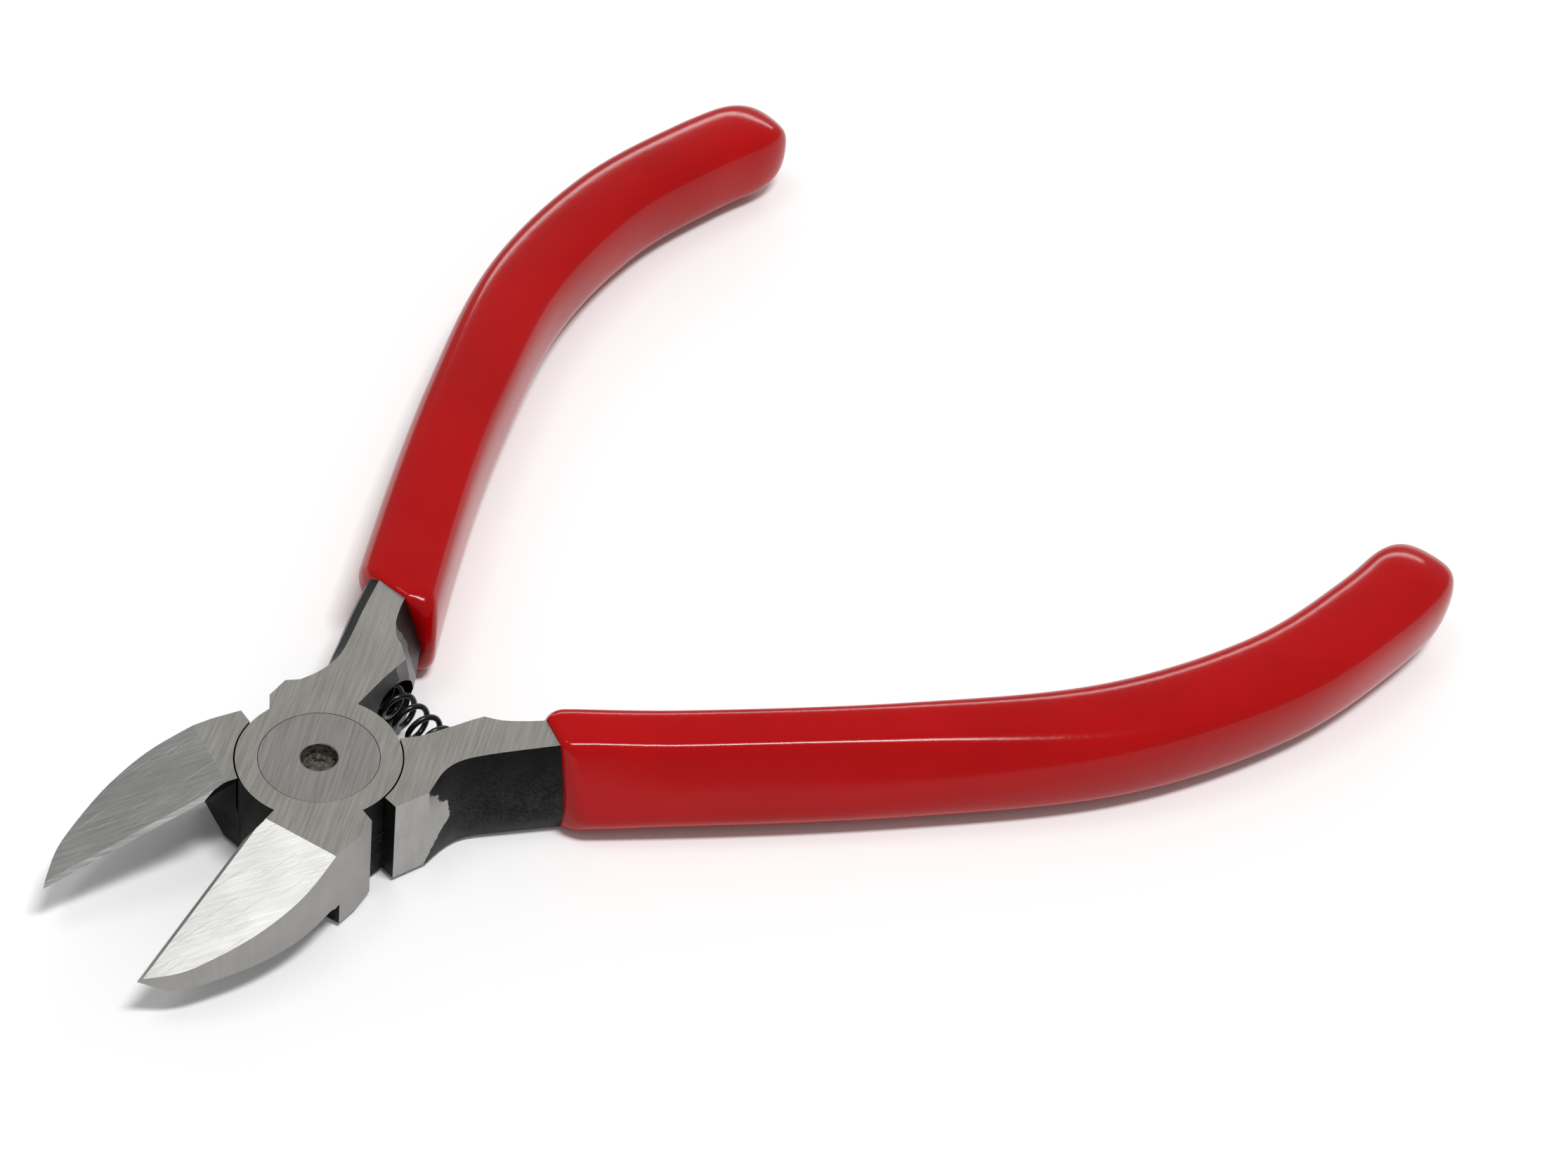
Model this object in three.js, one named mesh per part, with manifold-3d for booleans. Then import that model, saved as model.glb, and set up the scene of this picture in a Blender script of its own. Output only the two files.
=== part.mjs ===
// Diagonal cutting pliers: two lap-jointed forged levers on a flush rivet, a coil return spring that sits in
// pockets in the handles, and a dipped vinyl grip on each handle. The jaws stand open at their relaxed angle.
//
// Millimetres, +Z up. The origin is on the pivot axis at the underside of the joint. The jaws point along -X
// and the handles along +X. "front" is the lever whose jaw lies at -Y and whose handle lies at +Y: it carries
// the upper half of the lap. "rear" has the jaw at +Y, the handle at -Y and the lower half of the lap.
// An outline that both levers share is written with y as the distance outward from the X axis.

import * as THREE from "three";
import { mergeVertices } from "three/addons/utils/BufferGeometryUtils.js";
import Module from "manifold-3d";

const wasm = await Module();
wasm.setup();

// Joint
const THICKNESS = 10;
const MID_Z = THICKNESS / 2;
const JOINT_RADIUS = 7.75;
const SHOULDER_GAP = 0.16;
const LAP_GAP = 0.1;

// Rivet
const SHANK_RADIUS = 3.3;
const HEAD_RADIUS = 5.62;
const HEAD_DEPTH = 1.4;
const TAIL_RADIUS = 4.8;
const TAIL_DEPTH = 1.3;
const RECESS_RADIUS = 1.75;
const RECESS_DEPTH = 1.7;
const RUNNING_GAP = 0.08;

// Jaws: s runs from the pivot axis along a cutting edge, t runs outward from it
const HALF_OPEN = THREE.MathUtils.degToRad(15);
const CREASE_S = 9.0;
const TIP_S = 26.9;
const TIP_DROP = 5.4;
const LIP_WIDTH = 0.42;
const LIP_DROP = 0.3;
const UNDERCUT_SLOPE = 0.84;
const UNDERCUT_S = 8.4;
const RELIEF_Z = 2.95;
const RELIEF_FILLET = 1.6;
const THROAT_CORNER = [[8.5, 3.1], [7.75, 0.9], [7.75, -2], [9.5, -2], [9.5, 3.1]];

// Spring
const SPRING_X = 13.0;
const WIRE_RADIUS = 0.3;
const COIL_RADIUS = 1.6;
const SPRING_HALF_LENGTH = 7.1;
const SPRING_TURNS = 8;
const POCKET_RADIUS = 2.8;
const POCKET_END_Y = 7.5;

// Grips
const FRONT_MOUTH = { x: 19.9, y: 12, tilt: 0.09 };
const REAR_MOUTH = { x: 18.9, y: 12, tilt: 0.35 };
const GRIP_START_X = 13;
const GRIP_END_X = 114;

const STEEL = new THREE.MeshStandardMaterial({ color: 0x8f8d86, roughness: 0.38, metalness: 1 });
const RIVET_STEEL = new THREE.MeshStandardMaterial({ color: 0x8a8882, roughness: 0.35, metalness: 1 });
const BLACK_WIRE = new THREE.MeshStandardMaterial({ color: 0x0c0c0e, roughness: 0.35, metalness: 0.8 });
const RED_VINYL = new THREE.MeshStandardMaterial({ color: 0xb4060a, roughness: 0.25, metalness: 0 });

// ---- joining and cutting -------------------------------------------------------------------------------

function solid(geometry) {
  const bare = geometry.index ? geometry.toNonIndexed() : geometry.clone();
  bare.deleteAttribute("normal");
  bare.deleteAttribute("uv");
  const merged = mergeVertices(bare, 1e-4);
  const mesh = new wasm.Mesh({
    numProp: 3,
    vertProperties: merged.attributes.position.array,
    triVerts: new Uint32Array(merged.index.array),
  });
  return new wasm.Manifold(mesh);
}

function geometryOf(body) {
  const mesh = body.getMesh();
  const geometry = new THREE.BufferGeometry();
  geometry.setAttribute("position", new THREE.BufferAttribute(mesh.vertProperties, 3));
  geometry.setIndex(new THREE.BufferAttribute(mesh.triVerts, 1));
  return geometry;
}

function named(name, geometry, material) {
  const mesh = new THREE.Mesh(geometry, material);
  mesh.name = name;
  return mesh;
}

// ---- basic bodies --------------------------------------------------------------------------------------

function prism(points, low, high) {
  const shape = new THREE.Shape(points);
  const geometry = new THREE.ExtrudeGeometry(shape, { depth: high - low, bevelEnabled: false });
  return solid(geometry.translate(0, 0, low));
}

function disc(radius, low, high, segments = 96) {
  const geometry = new THREE.CylinderGeometry(radius, radius, high - low, segments);
  geometry.rotateX(Math.PI / 2);
  return solid(geometry.translate(0, 0, (low + high) / 2));
}

// Everything on the side of the plane that its normal points to, as one very large block.
function beyond(point, normal) {
  const size = 400;
  const unit = normal.clone().normalize();
  const turn = new THREE.Quaternion().setFromUnitVectors(new THREE.Vector3(0, 0, 1), unit);
  const geometry = new THREE.BoxGeometry(size, size, size).translate(0, 0, size / 2);
  return solid(geometry.applyQuaternion(turn).translate(point.x, point.y, point.z));
}

// Skins a row of rings that all have the same number of points, and closes both ends.
function skin(rings) {
  const count = rings[0].length;
  const positions = rings.flat().flatMap((p) => [p.x, p.y, p.z]);
  const index = [];
  for (let r = 0; r + 1 < rings.length; r++) {
    for (let i = 0; i < count; i++) {
      const a = r * count + i;
      const b = r * count + ((i + 1) % count);
      index.push(a, b, b + count, a, b + count, a + count);
    }
  }
  const capOf = (ring) => THREE.ShapeUtils.triangulateShape(flatten(ring), []);
  const last = (rings.length - 1) * count;
  for (const [a, b, c] of capOf(rings[0])) index.push(c, b, a);
  for (const [a, b, c] of capOf(rings.at(-1))) index.push(last + a, last + b, last + c);
  const geometry = new THREE.BufferGeometry();
  geometry.setAttribute("position", new THREE.Float32BufferAttribute(positions, 3));
  geometry.setIndex(index);
  const body = solid(geometry);
  if (body.volume() > 0) return body;
  for (let i = 0; i < index.length; i += 3) [index[i], index[i + 1]] = [index[i + 1], index[i]];
  geometry.setIndex(index);
  return solid(geometry);
}

// A flat ring's points in its own plane.
function flatten(ring) {
  const origin = ring[0];
  const normal = new THREE.Vector3();
  ring.forEach((p, i) => {
    const q = ring[(i + 1) % ring.length];
    normal.add(p.clone().sub(origin).cross(q.clone().sub(origin)));
  });
  normal.normalize();
  const across = Math.abs(normal.z) > 0.9 ? new THREE.Vector3(1, 0, 0) : new THREE.Vector3(0, 0, 1);
  const v = normal.clone().cross(across).normalize();
  const u = v.clone().cross(normal);
  return ring.map((p) => new THREE.Vector2(p.clone().sub(origin).dot(u), p.clone().sub(origin).dot(v)));
}

// A value read off a row of [x, value] pairs, straight between them.
function read(table, x) {
  const after = table.findIndex(([at]) => at > x);
  if (after < 0) return table.at(-1)[1];
  if (after === 0) return table[0][1];
  const [x0, v0] = table[after - 1];
  const [x1, v1] = table[after];
  return THREE.MathUtils.mapLinear(x, x0, x1, v0, v1);
}

function smooth(points, steps) {
  return new THREE.SplineCurve(points).getPoints(steps);
}

// A closed outline with eased corners. Each corner takes up its own share of the edges that meet in it.
function easedOutline(corners, shares, stepsPerCorner) {
  return corners.flatMap((corner, i) => {
    const before = corners[(i + corners.length - 1) % corners.length];
    const after = corners[(i + 1) % corners.length];
    const from = corner.clone().lerp(before, shares[i]);
    const to = corner.clone().lerp(after, shares[i]);
    return new THREE.QuadraticBezierCurve(from, corner, to).getPoints(stepsPerCorner);
  });
}

// ---- jaws ----------------------------------------------------------------------------------------------

// A vector or point given along the edge (s), outward (t) and up, for the jaw on one side of the X axis.
function jawVector(s, t, z, side) {
  const x = -s * Math.cos(HALF_OPEN) + t * Math.sin(HALF_OPEN);
  const y = s * Math.sin(HALF_OPEN) + t * Math.cos(HALF_OPEN);
  return new THREE.Vector3(x, side * y, z);
}

function jawOutline(side, neck) {
  const inJaw = (s, t) => {
    const p = jawVector(s, t, 0, side);
    return new THREE.Vector2(p.x, p.y);
  };
  const throat = [inJaw(7.6, 0.6), inJaw(9.3, 0.6), inJaw(10.3, 0.4), inJaw(11.4, 0)];
  const back = smooth(
    [[TIP_S, 0], [24.8, 2.75], [22.7, 4.4], [18.9, 6.55], [15.5, 7.8], [12.6, 8.35], [CREASE_S, 8.45]]
      .map(([s, t]) => inJaw(s, t)),
    22,
  );
  const neckPoints = neck.map(([x, y]) => new THREE.Vector2(x, side * y));
  const inJoint = [new THREE.Vector2(-1, side * 3), new THREE.Vector2(-3, side * 1)];
  return [...throat, ...back, ...neckPoints, ...inJoint];
}

// Everything in front of two planes that meet at a corner, with that corner rounded. The cutter is convex, so
// its round corner is a few more planes that touch the arc.
function roundedCutter(corner, first, second, radius) {
  const toCentre = radius / (1 + first.dot(second));
  const centre = corner.clone().addScaledVector(first, toCentre).addScaledVector(second, toCentre);
  let cutter = beyond(corner, first).intersect(beyond(corner, second));
  for (const share of [0.2, 0.4, 0.6, 0.8]) {
    const normal = first.clone().lerp(second, share).normalize();
    cutter = cutter.intersect(beyond(centre.clone().addScaledVector(normal, -radius), normal));
  }
  return cutter;
}

// Ground away under a jaw, past a step: the back bevel that makes the cutting edge, and a level relief. The
// back bevel also reaches a little behind the step at the throat, where the two jaws pass each other.
function undercut(side, edge, slope) {
  const inJaw = (s, t, z) => jawVector(s, t, z, side);
  const down = inJaw(-slope, -UNDERCUT_SLOPE, -1).normalize();
  const forward = inJaw(1, 0, 0);
  const corner = edge.clone().add(inJaw(UNDERCUT_S - CREASE_S, 0, slope * (CREASE_S - UNDERCUT_S)));
  const bevel = beyond(corner, down).intersect(beyond(corner, forward));
  const reliefCorner = inJaw(UNDERCUT_S, 0, RELIEF_Z);
  const relief = roundedCutter(reliefCorner, new THREE.Vector3(0, 0, -1), forward, RELIEF_FILLET);
  const throatCorner = THROAT_CORNER
    .map(([s, t]) => inJaw(s, t, 0))
    .map((p) => new THREE.Vector2(p.x, p.y));
  const throat = prism(throatCorner, -1, THICKNESS).intersect(beyond(corner, down));
  return bevel.add(relief).add(throat);
}

function jaw(side, neck) {
  const slope = TIP_DROP / (TIP_S - CREASE_S);
  const crease = jawVector(CREASE_S, 0, THICKNESS, side);
  const edge = jawVector(CREASE_S, 0, THICKNESS - LIP_DROP, side);
  const facet = beyond(crease, jawVector(slope, 0, 1, side));
  const lip = beyond(edge, jawVector(slope, -LIP_DROP / LIP_WIDTH, 1, side));
  const pastThroat = beyond(jawVector(CREASE_S + 1, 0, 0, side), jawVector(1, 0, 0, side));
  return prism(jawOutline(side, neck), 0, THICKNESS)
    .subtract(facet)
    .subtract(lip.intersect(pastThroat))
    .subtract(undercut(side, edge, slope));
}

// ---- handles -------------------------------------------------------------------------------------------

// Middle line of a handle, y outward.
const MIDDLE_POINTS = [
  [4, -1.6], [10.9, 5.1], [29.3, 20.1], [47.8, 33.5],
  [66.1, 44.6], [84.5, 50.5], [100.9, 51.6], [GRIP_END_X, 50.6],
];
const MIDDLE_LINE = new THREE.CatmullRomCurve3(MIDDLE_POINTS.map(([x, y]) => new THREE.Vector3(x, y, 0)));

// The place along the middle line whose x is given, found by halving.
function alongAt(x) {
  let low = 0;
  let high = 1;
  while (high - low > 1e-7) {
    const middle = (low + high) / 2;
    if (MIDDLE_LINE.getPointAt(middle).x < x) low = middle;
    else high = middle;
  }
  return low;
}

// A point beside the middle line: "out" is away from the X axis, z is up.
function beside(along, out, z, side) {
  const p = MIDDLE_LINE.getPointAt(along);
  const t = MIDDLE_LINE.getTangentAt(along);
  return new THREE.Vector3(p.x - t.y * out, side * (p.y + t.x * out), z);
}

// Inside the grip the tang runs on along the middle line to this far.
const TANG_STATIONS = [25, 34, 46, 60, 74, 88, 98, 106];
const TANG_TOP_HALF_WIDTH = 1.1;
const TANG_HALF_WIDTH = 2.7;
const CURVE_STEPS = 3;

// A handle is skinned between level outlines. Each point of its outline has a place on the ground top face
// and a place where the flank stands out furthest; the flank's profile says how far it has gone at a height.
function handleOutline(shape, side, z) {
  const outerShare = read(shape.outerFlank, z);
  const innerShare = read(shape.innerFlank, z);
  const placed = (rows, share) => rows.map(([x, y, wideX, wideY]) => {
    const along = new THREE.Vector2(x, y).lerp(new THREE.Vector2(wideX, wideY), share);
    return new THREE.Vector3(along.x, side * along.y, z);
  });
  const curved = (rows, share) =>
    new THREE.CatmullRomCurve3(placed(rows, share)).getPoints(CURVE_STEPS * (rows.length - 1));
  const halfWidth = (share) => THREE.MathUtils.lerp(TANG_TOP_HALF_WIDTH, TANG_HALF_WIDTH, share);
  const stations = TANG_STATIONS.map(alongAt);
  const outer = stations.map((along) => beside(along, halfWidth(outerShare), z, side));
  const inner = stations.map((along) => beside(along, -halfWidth(innerShare), z, side)).reverse();
  return [
    ...placed(shape.block, 0), ...curved(shape.outer, outerShare), ...outer,
    ...inner, ...curved(shape.inner, innerShare),
    ...placed(shape.throat, innerShare), ...placed(shape.joint, 0),
  ];
}

const HANDLE_LEVELS = [0, 0.7, 1.8, 3.4, 5, 6.6, 8.2, 9.3, THICKNESS];

// Seen from the side, the tang is at full height up to the grip's mouth and slimmer inside the grip.
function handle(shape, side) {
  const body = skin(HANDLE_LEVELS.map((z) => handleOutline(shape, side, z)));
  const upper = [[-40, THICKNESS], [FRONT_MOUTH.x + 1, THICKNESS], [30, 8.7], [70, 8.4], [108, 8.0]];
  const lower = upper.map(([x, z]) => [x, THICKNESS - z]).reverse();
  const profile = [...upper, ...lower].map(([x, z]) => new THREE.Vector2(x, z));
  const sideView = new THREE.ExtrudeGeometry(new THREE.Shape(profile), { depth: 160, bevelEnabled: false });
  return body.intersect(solid(sideView.rotateX(Math.PI / 2).translate(0, 80, 0)));
}

function springPocket() {
  const geometry = new THREE.CylinderGeometry(POCKET_RADIUS, POCKET_RADIUS, 2 * POCKET_END_Y, 40);
  return solid(geometry.translate(SPRING_X, 0, MID_Z));
}

// ---- levers --------------------------------------------------------------------------------------------

// Rows of outer and inner: x and y on the ground top face, then x and y where the flank stands out furthest.
// outerFlank and innerFlank: height above the underside, and the share of the way out the flank has gone.
const FRONT = {
  neck: [[-3.65, 10.0], [-1.3, 9.2], [-1.1, 7.5]],
  block: [[0, 7.4, 0, 7.4], [1.45, 9.2, 1.45, 9.2], [3.8, 9.8, 3.8, 9.8]],
  outer: [
    [5.0, 9.0, 5.0, 9.0], [6.8, 8.75, 6.8, 8.75], [8.2, 8.8, 8.2, 9.1], [10, 9.2, 9.5, 10.4],
    [12.75, 10.75, 12.0, 12.1], [15.5, 12.5, 14.6, 13.9], [19.66, 14.93, 18.4, 16.3],
  ],
  inner: [
    [20.2, 11.5, 21.7, 10.3], [18.75, 10.6, 20.2, 8.9], [17.0, 9.2, 19.1, 7.9], [15.9, 7.7, 18.1, 6.95],
    [15.6, 6.7, 17.0, 5.9],
  ],
  throat: [[14.55, 4.8, 15.2, 4.4], [11.4, 4.2, 11.4, 4.1]],
  joint: [[7.3, 3.1, 7.3, 3.1], [3, 1, 3, 1], [0.4, 3.5, 0.4, 3.5]],
  outerFlank: [[0, -0.4], [0.7, -0.15], [3.4, 0.42], [6.6, 0.93], [8.2, 0.9], [9.3, 0.6], [10, 0]],
  innerFlank: [[0, 0], [1.8, 0.45], [5, 1], [8.2, 0.45], [10, 0]],
};

const REAR = {
  neck: [[-4.6, 10.1], [-1.9, 9.25], [-2.2, 7.3]],
  block: [[1.45, 7.4, 1.45, 7.4], [1.45, 9.3, 1.45, 9.3]],
  outer: [
    [5.0, 9.9, 5.0, 9.9], [6.3, 9.3, 6.7, 9.7], [7.7, 8.75, 8.0, 9.7], [9.2, 8.6, 9.2, 9.85],
    [10.7, 8.95, 10.4, 10.3], [12.75, 9.9, 12.0, 11.3], [15.5, 11.4, 14.5, 12.9], [18.65, 13.2, 17.5, 14.8],
  ],
  inner: [
    [19.5, 9.75, 21.7, 10.3], [18.2, 8.8, 20.0, 8.7], [16.4, 7.2, 18.2, 7.0], [15.4, 5.75, 16.4, 5.4],
  ],
  throat: [[14.2, 5.35, 14.6, 4.7], [12.3, 4.85, 12.3, 4.5], [9.1, 3.9, 9.1, 3.9]],
  joint: [[7.3, 2.9, 7.3, 2.9], [3, 1, 3, 1], [1, 3.5, 1, 3.5]],
  outerFlank: [[0, 0.75], [1.8, 1], [3.4, 0.93], [6.6, 0.6], [9.3, 0.16], [10, 0]],
  innerFlank: [[0, 0], [1.8, 0.45], [5, 1], [8.2, 0.45], [10, 0]],
};

function lever(shape, jawSide) {
  const upper = jawSide < 0;
  const ownLow = upper ? MID_Z + LAP_GAP / 2 : 0;
  const ownHigh = upper ? THICKNESS : MID_Z - LAP_GAP / 2;
  const otherLow = upper ? -1 : MID_Z - LAP_GAP / 2;
  const otherHigh = upper ? MID_Z + LAP_GAP / 2 : THICKNESS + 1;
  const clearance = disc(JOINT_RADIUS + SHOULDER_GAP, otherLow, otherHigh);
  const ownHalf = disc(JOINT_RADIUS, ownLow, ownHigh);
  return jaw(jawSide, shape.neck)
    .add(handle(shape, -jawSide))
    .subtract(clearance)
    .add(ownHalf)
    .subtract(rivetSpace())
    .subtract(springPocket());
}

// ---- rivet ---------------------------------------------------------------------------------------------

function turned(profile, segments) {
  const points = profile.map(([r, z]) => new THREE.Vector2(r, z));
  return new THREE.LatheGeometry(points, segments).rotateX(Math.PI / 2);
}

function rivetSpace() {
  const head = disc(HEAD_RADIUS + RUNNING_GAP, THICKNESS - HEAD_DEPTH - RUNNING_GAP, THICKNESS + 1);
  const tail = disc(TAIL_RADIUS + RUNNING_GAP, -1, TAIL_DEPTH + RUNNING_GAP);
  return disc(SHANK_RADIUS + RUNNING_GAP, -1, THICKNESS + 1).add(head).add(tail);
}

function rivet() {
  const body = disc(SHANK_RADIUS, 0, THICKNESS)
    .add(disc(HEAD_RADIUS, THICKNESS - HEAD_DEPTH, THICKNESS))
    .add(disc(TAIL_RADIUS, 0, TAIL_DEPTH));
  const recess = solid(
    turned([[0, -RECESS_DEPTH], [RECESS_RADIUS, -RECESS_DEPTH], [RECESS_RADIUS, 1], [0, 1]], 48)
      .translate(0, 0, THICKNESS),
  );
  return body.subtract(recess);
}

// ---- spring --------------------------------------------------------------------------------------------

class Helix extends THREE.Curve {
  getPoint(along, target = new THREE.Vector3()) {
    const angle = along * SPRING_TURNS * 2 * Math.PI;
    const y = (2 * along - 1) * (SPRING_HALF_LENGTH - WIRE_RADIUS);
    return target.set(
      SPRING_X + COIL_RADIUS * Math.cos(angle), y, MID_Z + COIL_RADIUS * Math.sin(angle),
    );
  }
}

function spring() {
  const wire = new THREE.Shape().absarc(0, 0, WIRE_RADIUS, 0, 2 * Math.PI);
  const path = new Helix();
  return new THREE.ExtrudeGeometry(wire, {
    extrudePath: path, steps: SPRING_TURNS * 16, curveSegments: 4, bevelEnabled: false,
  });
}

// ---- grips ---------------------------------------------------------------------------------------------

// A grip follows its tang's section at the mouth and is round and even further on. Both sections are given by
// the corners of an outline that is then eased: how far outward and up each is, and its share of the edges.
// They are the rear grip's; the front grip is the same one turned over.
const MOUTH_SECTION = [
  [4.6, -1.0, 0.45], [1.8, 5.25, 0.1], [-3.2, 5.25, 0.35], [-4.45, 3.4, 0.45],
  [-4.45, -3.4, 0.45], [-3.2, -5.25, 0.35], [3.1, -5.05, 0.4], [4.7, -2.9, 0.45],
];
const END_HALF_WIDTH = 5.1;
const END_HALF_HEIGHT = 4.9;
const END_FLAT = 0.62;
const MORPH_FROM_X = 34;
const MORPH_TO_X = 74;
const MOUTH_SWELL = 0.3;
const SWELL_TO_X = 28.9;

// The round end of a grip: its share of the middle line's length, how full it is (2 would be an ellipse), and
// where along it the sections lie.
const CAP_LENGTH = 0.06;
const CAP_FULLNESS = 2.5;
const CAP_END_SCALE = 0.05;
const CAP_STATIONS = [0, 0.3, 0.55, 0.74, 0.88, 0.96, 0.99, 1];

const END_SECTION = [
  [1, END_FLAT], [END_FLAT, 1], [-END_FLAT, 1], [-1, END_FLAT],
  [-1, -END_FLAT], [-END_FLAT, -1], [END_FLAT, -1], [1, -END_FLAT],
].map(([out, up]) => [out * END_HALF_WIDTH, up * END_HALF_HEIGHT, 0.5]);

function capScale(along) {
  const into = THREE.MathUtils.clamp((along - (1 - CAP_LENGTH)) / CAP_LENGTH, 0, 1);
  return Math.max(CAP_END_SCALE, (1 - into ** CAP_FULLNESS) ** (1 / CAP_FULLNESS));
}

function gripSection(along, side) {
  const x = MIDDLE_LINE.getPointAt(along).x;
  const toEnd = THREE.MathUtils.smoothstep(x, MORPH_FROM_X, MORPH_TO_X);
  const swell = MOUTH_SWELL * (1 - THREE.MathUtils.smoothstep(x, REAR_MOUTH.x, SWELL_TO_X));
  const blended = (near, far) => near.map((value, i) => THREE.MathUtils.lerp(value, far[i], toEnd));
  const rows = MOUTH_SECTION.map((row, i) => blended(row, END_SECTION[i]));
  const corners = rows.map(([out, up]) => new THREE.Vector2(out, up + Math.sign(up) * swell));
  const outline = easedOutline(corners, rows.map((row) => row[2]), 2);
  const scale = capScale(along);
  return outline.map((p) => beside(along, p.x * scale, MID_Z - side * p.y * scale, side));
}

// Hollow for the tang, a little larger than the tang all round: the rear one's outline at the mouth, and how
// much narrower and lower it is where the tang is slimmer. The front one is turned over.
const HOLLOW_SECTION = [
  [4.05, -2.9], [2.65, 2.8], [1.6, 5.2], [-2.2, 5.3], [-3.7, 2.8], [-3.7, -2.8], [-2.2, -5.3], [3.3, -5.3],
];
const HOLLOW_STATIONS = [GRIP_START_X, 20, 25, 30, 46, 60, 74, 88, 98, 107];
const SLIM_WIDTH = 0.88;
const SLIM_HEIGHT = 0.8;

function tangSpace(side) {
  const rings = HOLLOW_STATIONS.map((x) => {
    const slim = THREE.MathUtils.smoothstep(x, 20, 30);
    const width = THREE.MathUtils.lerp(1, SLIM_WIDTH, slim);
    const height = THREE.MathUtils.lerp(1, SLIM_HEIGHT, slim);
    const along = alongAt(x);
    return HOLLOW_SECTION.map(([out, up]) => beside(along, out * width, MID_Z - side * up * height, side));
  });
  return skin(rings);
}

const GRIP_STATIONS = [GRIP_START_X, 19, 23, 27, 31, 37, 43, 50, 57, 64, 71, 78, 85, 92, 99, 105];

// A mouth is cut square to the faces, through a point of the grip; its tilt is how far it leans back towards
// the joint for each millimetre outward.
function grip(side, mouth) {
  const capStations = CAP_STATIONS.map((share) => 1 - CAP_LENGTH + share * CAP_LENGTH);
  const stations = [...GRIP_STATIONS.map(alongAt), ...capStations];
  const rings = stations.map((along) => gripSection(along, side));
  const mouthPoint = new THREE.Vector3(mouth.x, side * mouth.y, 0);
  const beforeMouth = beyond(mouthPoint, new THREE.Vector3(-1, -side * mouth.tilt, 0));
  return skin(rings).subtract(tangSpace(side)).subtract(beforeMouth);
}

// ---- assembly ------------------------------------------------------------------------------------------

const group = new THREE.Group();
group.name = "diagonal_cutting_pliers";
group.add(named("front_lever", geometryOf(lever(FRONT, -1)), STEEL));
group.add(named("rear_lever", geometryOf(lever(REAR, 1)), STEEL));
group.add(named("pivot_rivet", geometryOf(rivet()), RIVET_STEEL));
group.add(named("return_spring", spring(), BLACK_WIRE));
group.add(named("front_grip", geometryOf(grip(1, FRONT_MOUTH)), RED_VINYL));
group.add(named("rear_grip", geometryOf(grip(-1, REAR_MOUTH)), RED_VINYL));

export default group;
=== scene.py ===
"""Looks of the diagonal cutting pliers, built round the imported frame.

Shapes are worked out in millimetres and turned into metres when a mesh is made. The frame is the part's own:
origin on the pivot axis at the underside of the joint, jaws towards -X, handles towards +X, +Z up.
"""

import math

import bmesh
import bpy
from mathutils import Matrix, Vector
from mathutils.geometry import interpolate_bezier


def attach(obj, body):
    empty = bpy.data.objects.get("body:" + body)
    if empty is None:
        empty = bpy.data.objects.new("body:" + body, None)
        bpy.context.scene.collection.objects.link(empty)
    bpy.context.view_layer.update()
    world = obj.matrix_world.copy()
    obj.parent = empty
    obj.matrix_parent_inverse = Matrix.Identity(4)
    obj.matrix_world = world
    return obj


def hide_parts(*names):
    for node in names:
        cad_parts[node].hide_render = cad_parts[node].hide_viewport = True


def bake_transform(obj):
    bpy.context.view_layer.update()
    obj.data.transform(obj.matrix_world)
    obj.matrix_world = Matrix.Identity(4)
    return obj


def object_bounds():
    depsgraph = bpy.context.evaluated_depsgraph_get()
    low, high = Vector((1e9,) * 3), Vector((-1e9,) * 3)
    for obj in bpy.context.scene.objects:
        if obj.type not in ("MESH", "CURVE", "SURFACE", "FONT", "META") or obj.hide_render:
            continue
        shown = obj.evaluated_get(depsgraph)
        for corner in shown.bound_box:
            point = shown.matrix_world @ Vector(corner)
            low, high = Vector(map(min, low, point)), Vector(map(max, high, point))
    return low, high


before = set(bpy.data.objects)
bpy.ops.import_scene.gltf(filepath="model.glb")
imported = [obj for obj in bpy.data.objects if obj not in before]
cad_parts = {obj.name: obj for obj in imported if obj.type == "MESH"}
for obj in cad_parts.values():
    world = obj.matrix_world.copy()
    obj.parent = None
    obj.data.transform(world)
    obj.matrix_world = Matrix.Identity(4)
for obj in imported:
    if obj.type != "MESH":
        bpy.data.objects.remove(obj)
CAD_LOW, CAD_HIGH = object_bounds()

MM = 0.001

# Joint and jaws; S is measured from the pivot along the middle of a jaw
THICKNESS = 10.0
MID_Z = THICKNESS / 2
HALF_OPEN = math.radians(15)
JOINT_RADIUS = 7.75
STEP_S = 8.42

# Where the finishes of a lever change. LEVEL and SLOPING are the least Z of the normal of such a face, and
# AWAY is the least part of a normal that points away from the middle of the tool.
LEVEL = 0.995
SLOPING = 0.3
AWAY = 0.3
REGION_MARGIN = 0.1
JAWS_X = -1.0
THROAT_END_S = 11.4
THROAT_HALF_WIDTH = 6.0
SHOULDER_Y = 9.0
SHOULDER_AWAY = 0.5
BLOCK_Y = 6.0
POCKET_X = 8.5
POCKET_Y = 2.0

# The ground part of the block beside the joint: how far along it reaches at mid height, and at top and bottom
BLOCK_MIDDLE_Z = 5.2
BLOCK_MIDDLE_BAND = 0.3
BLOCK_HALF_HEIGHT = 4.8
BLOCK_REACH = 8.2
BLOCK_CORNER_REACH = 4.9

# The ground part between the spring's pocket and the grip
STRIP_X = 15.2
STRIP_HALF_LENGTH = 1.9

# Work on the levers' own solids
MERGE_DISTANCE = 0.0005
FLAT_ANGLE = math.radians(0.4)
SHARP_ANGLE = math.radians(28)
EDGE_BEVEL = 0.07

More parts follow.
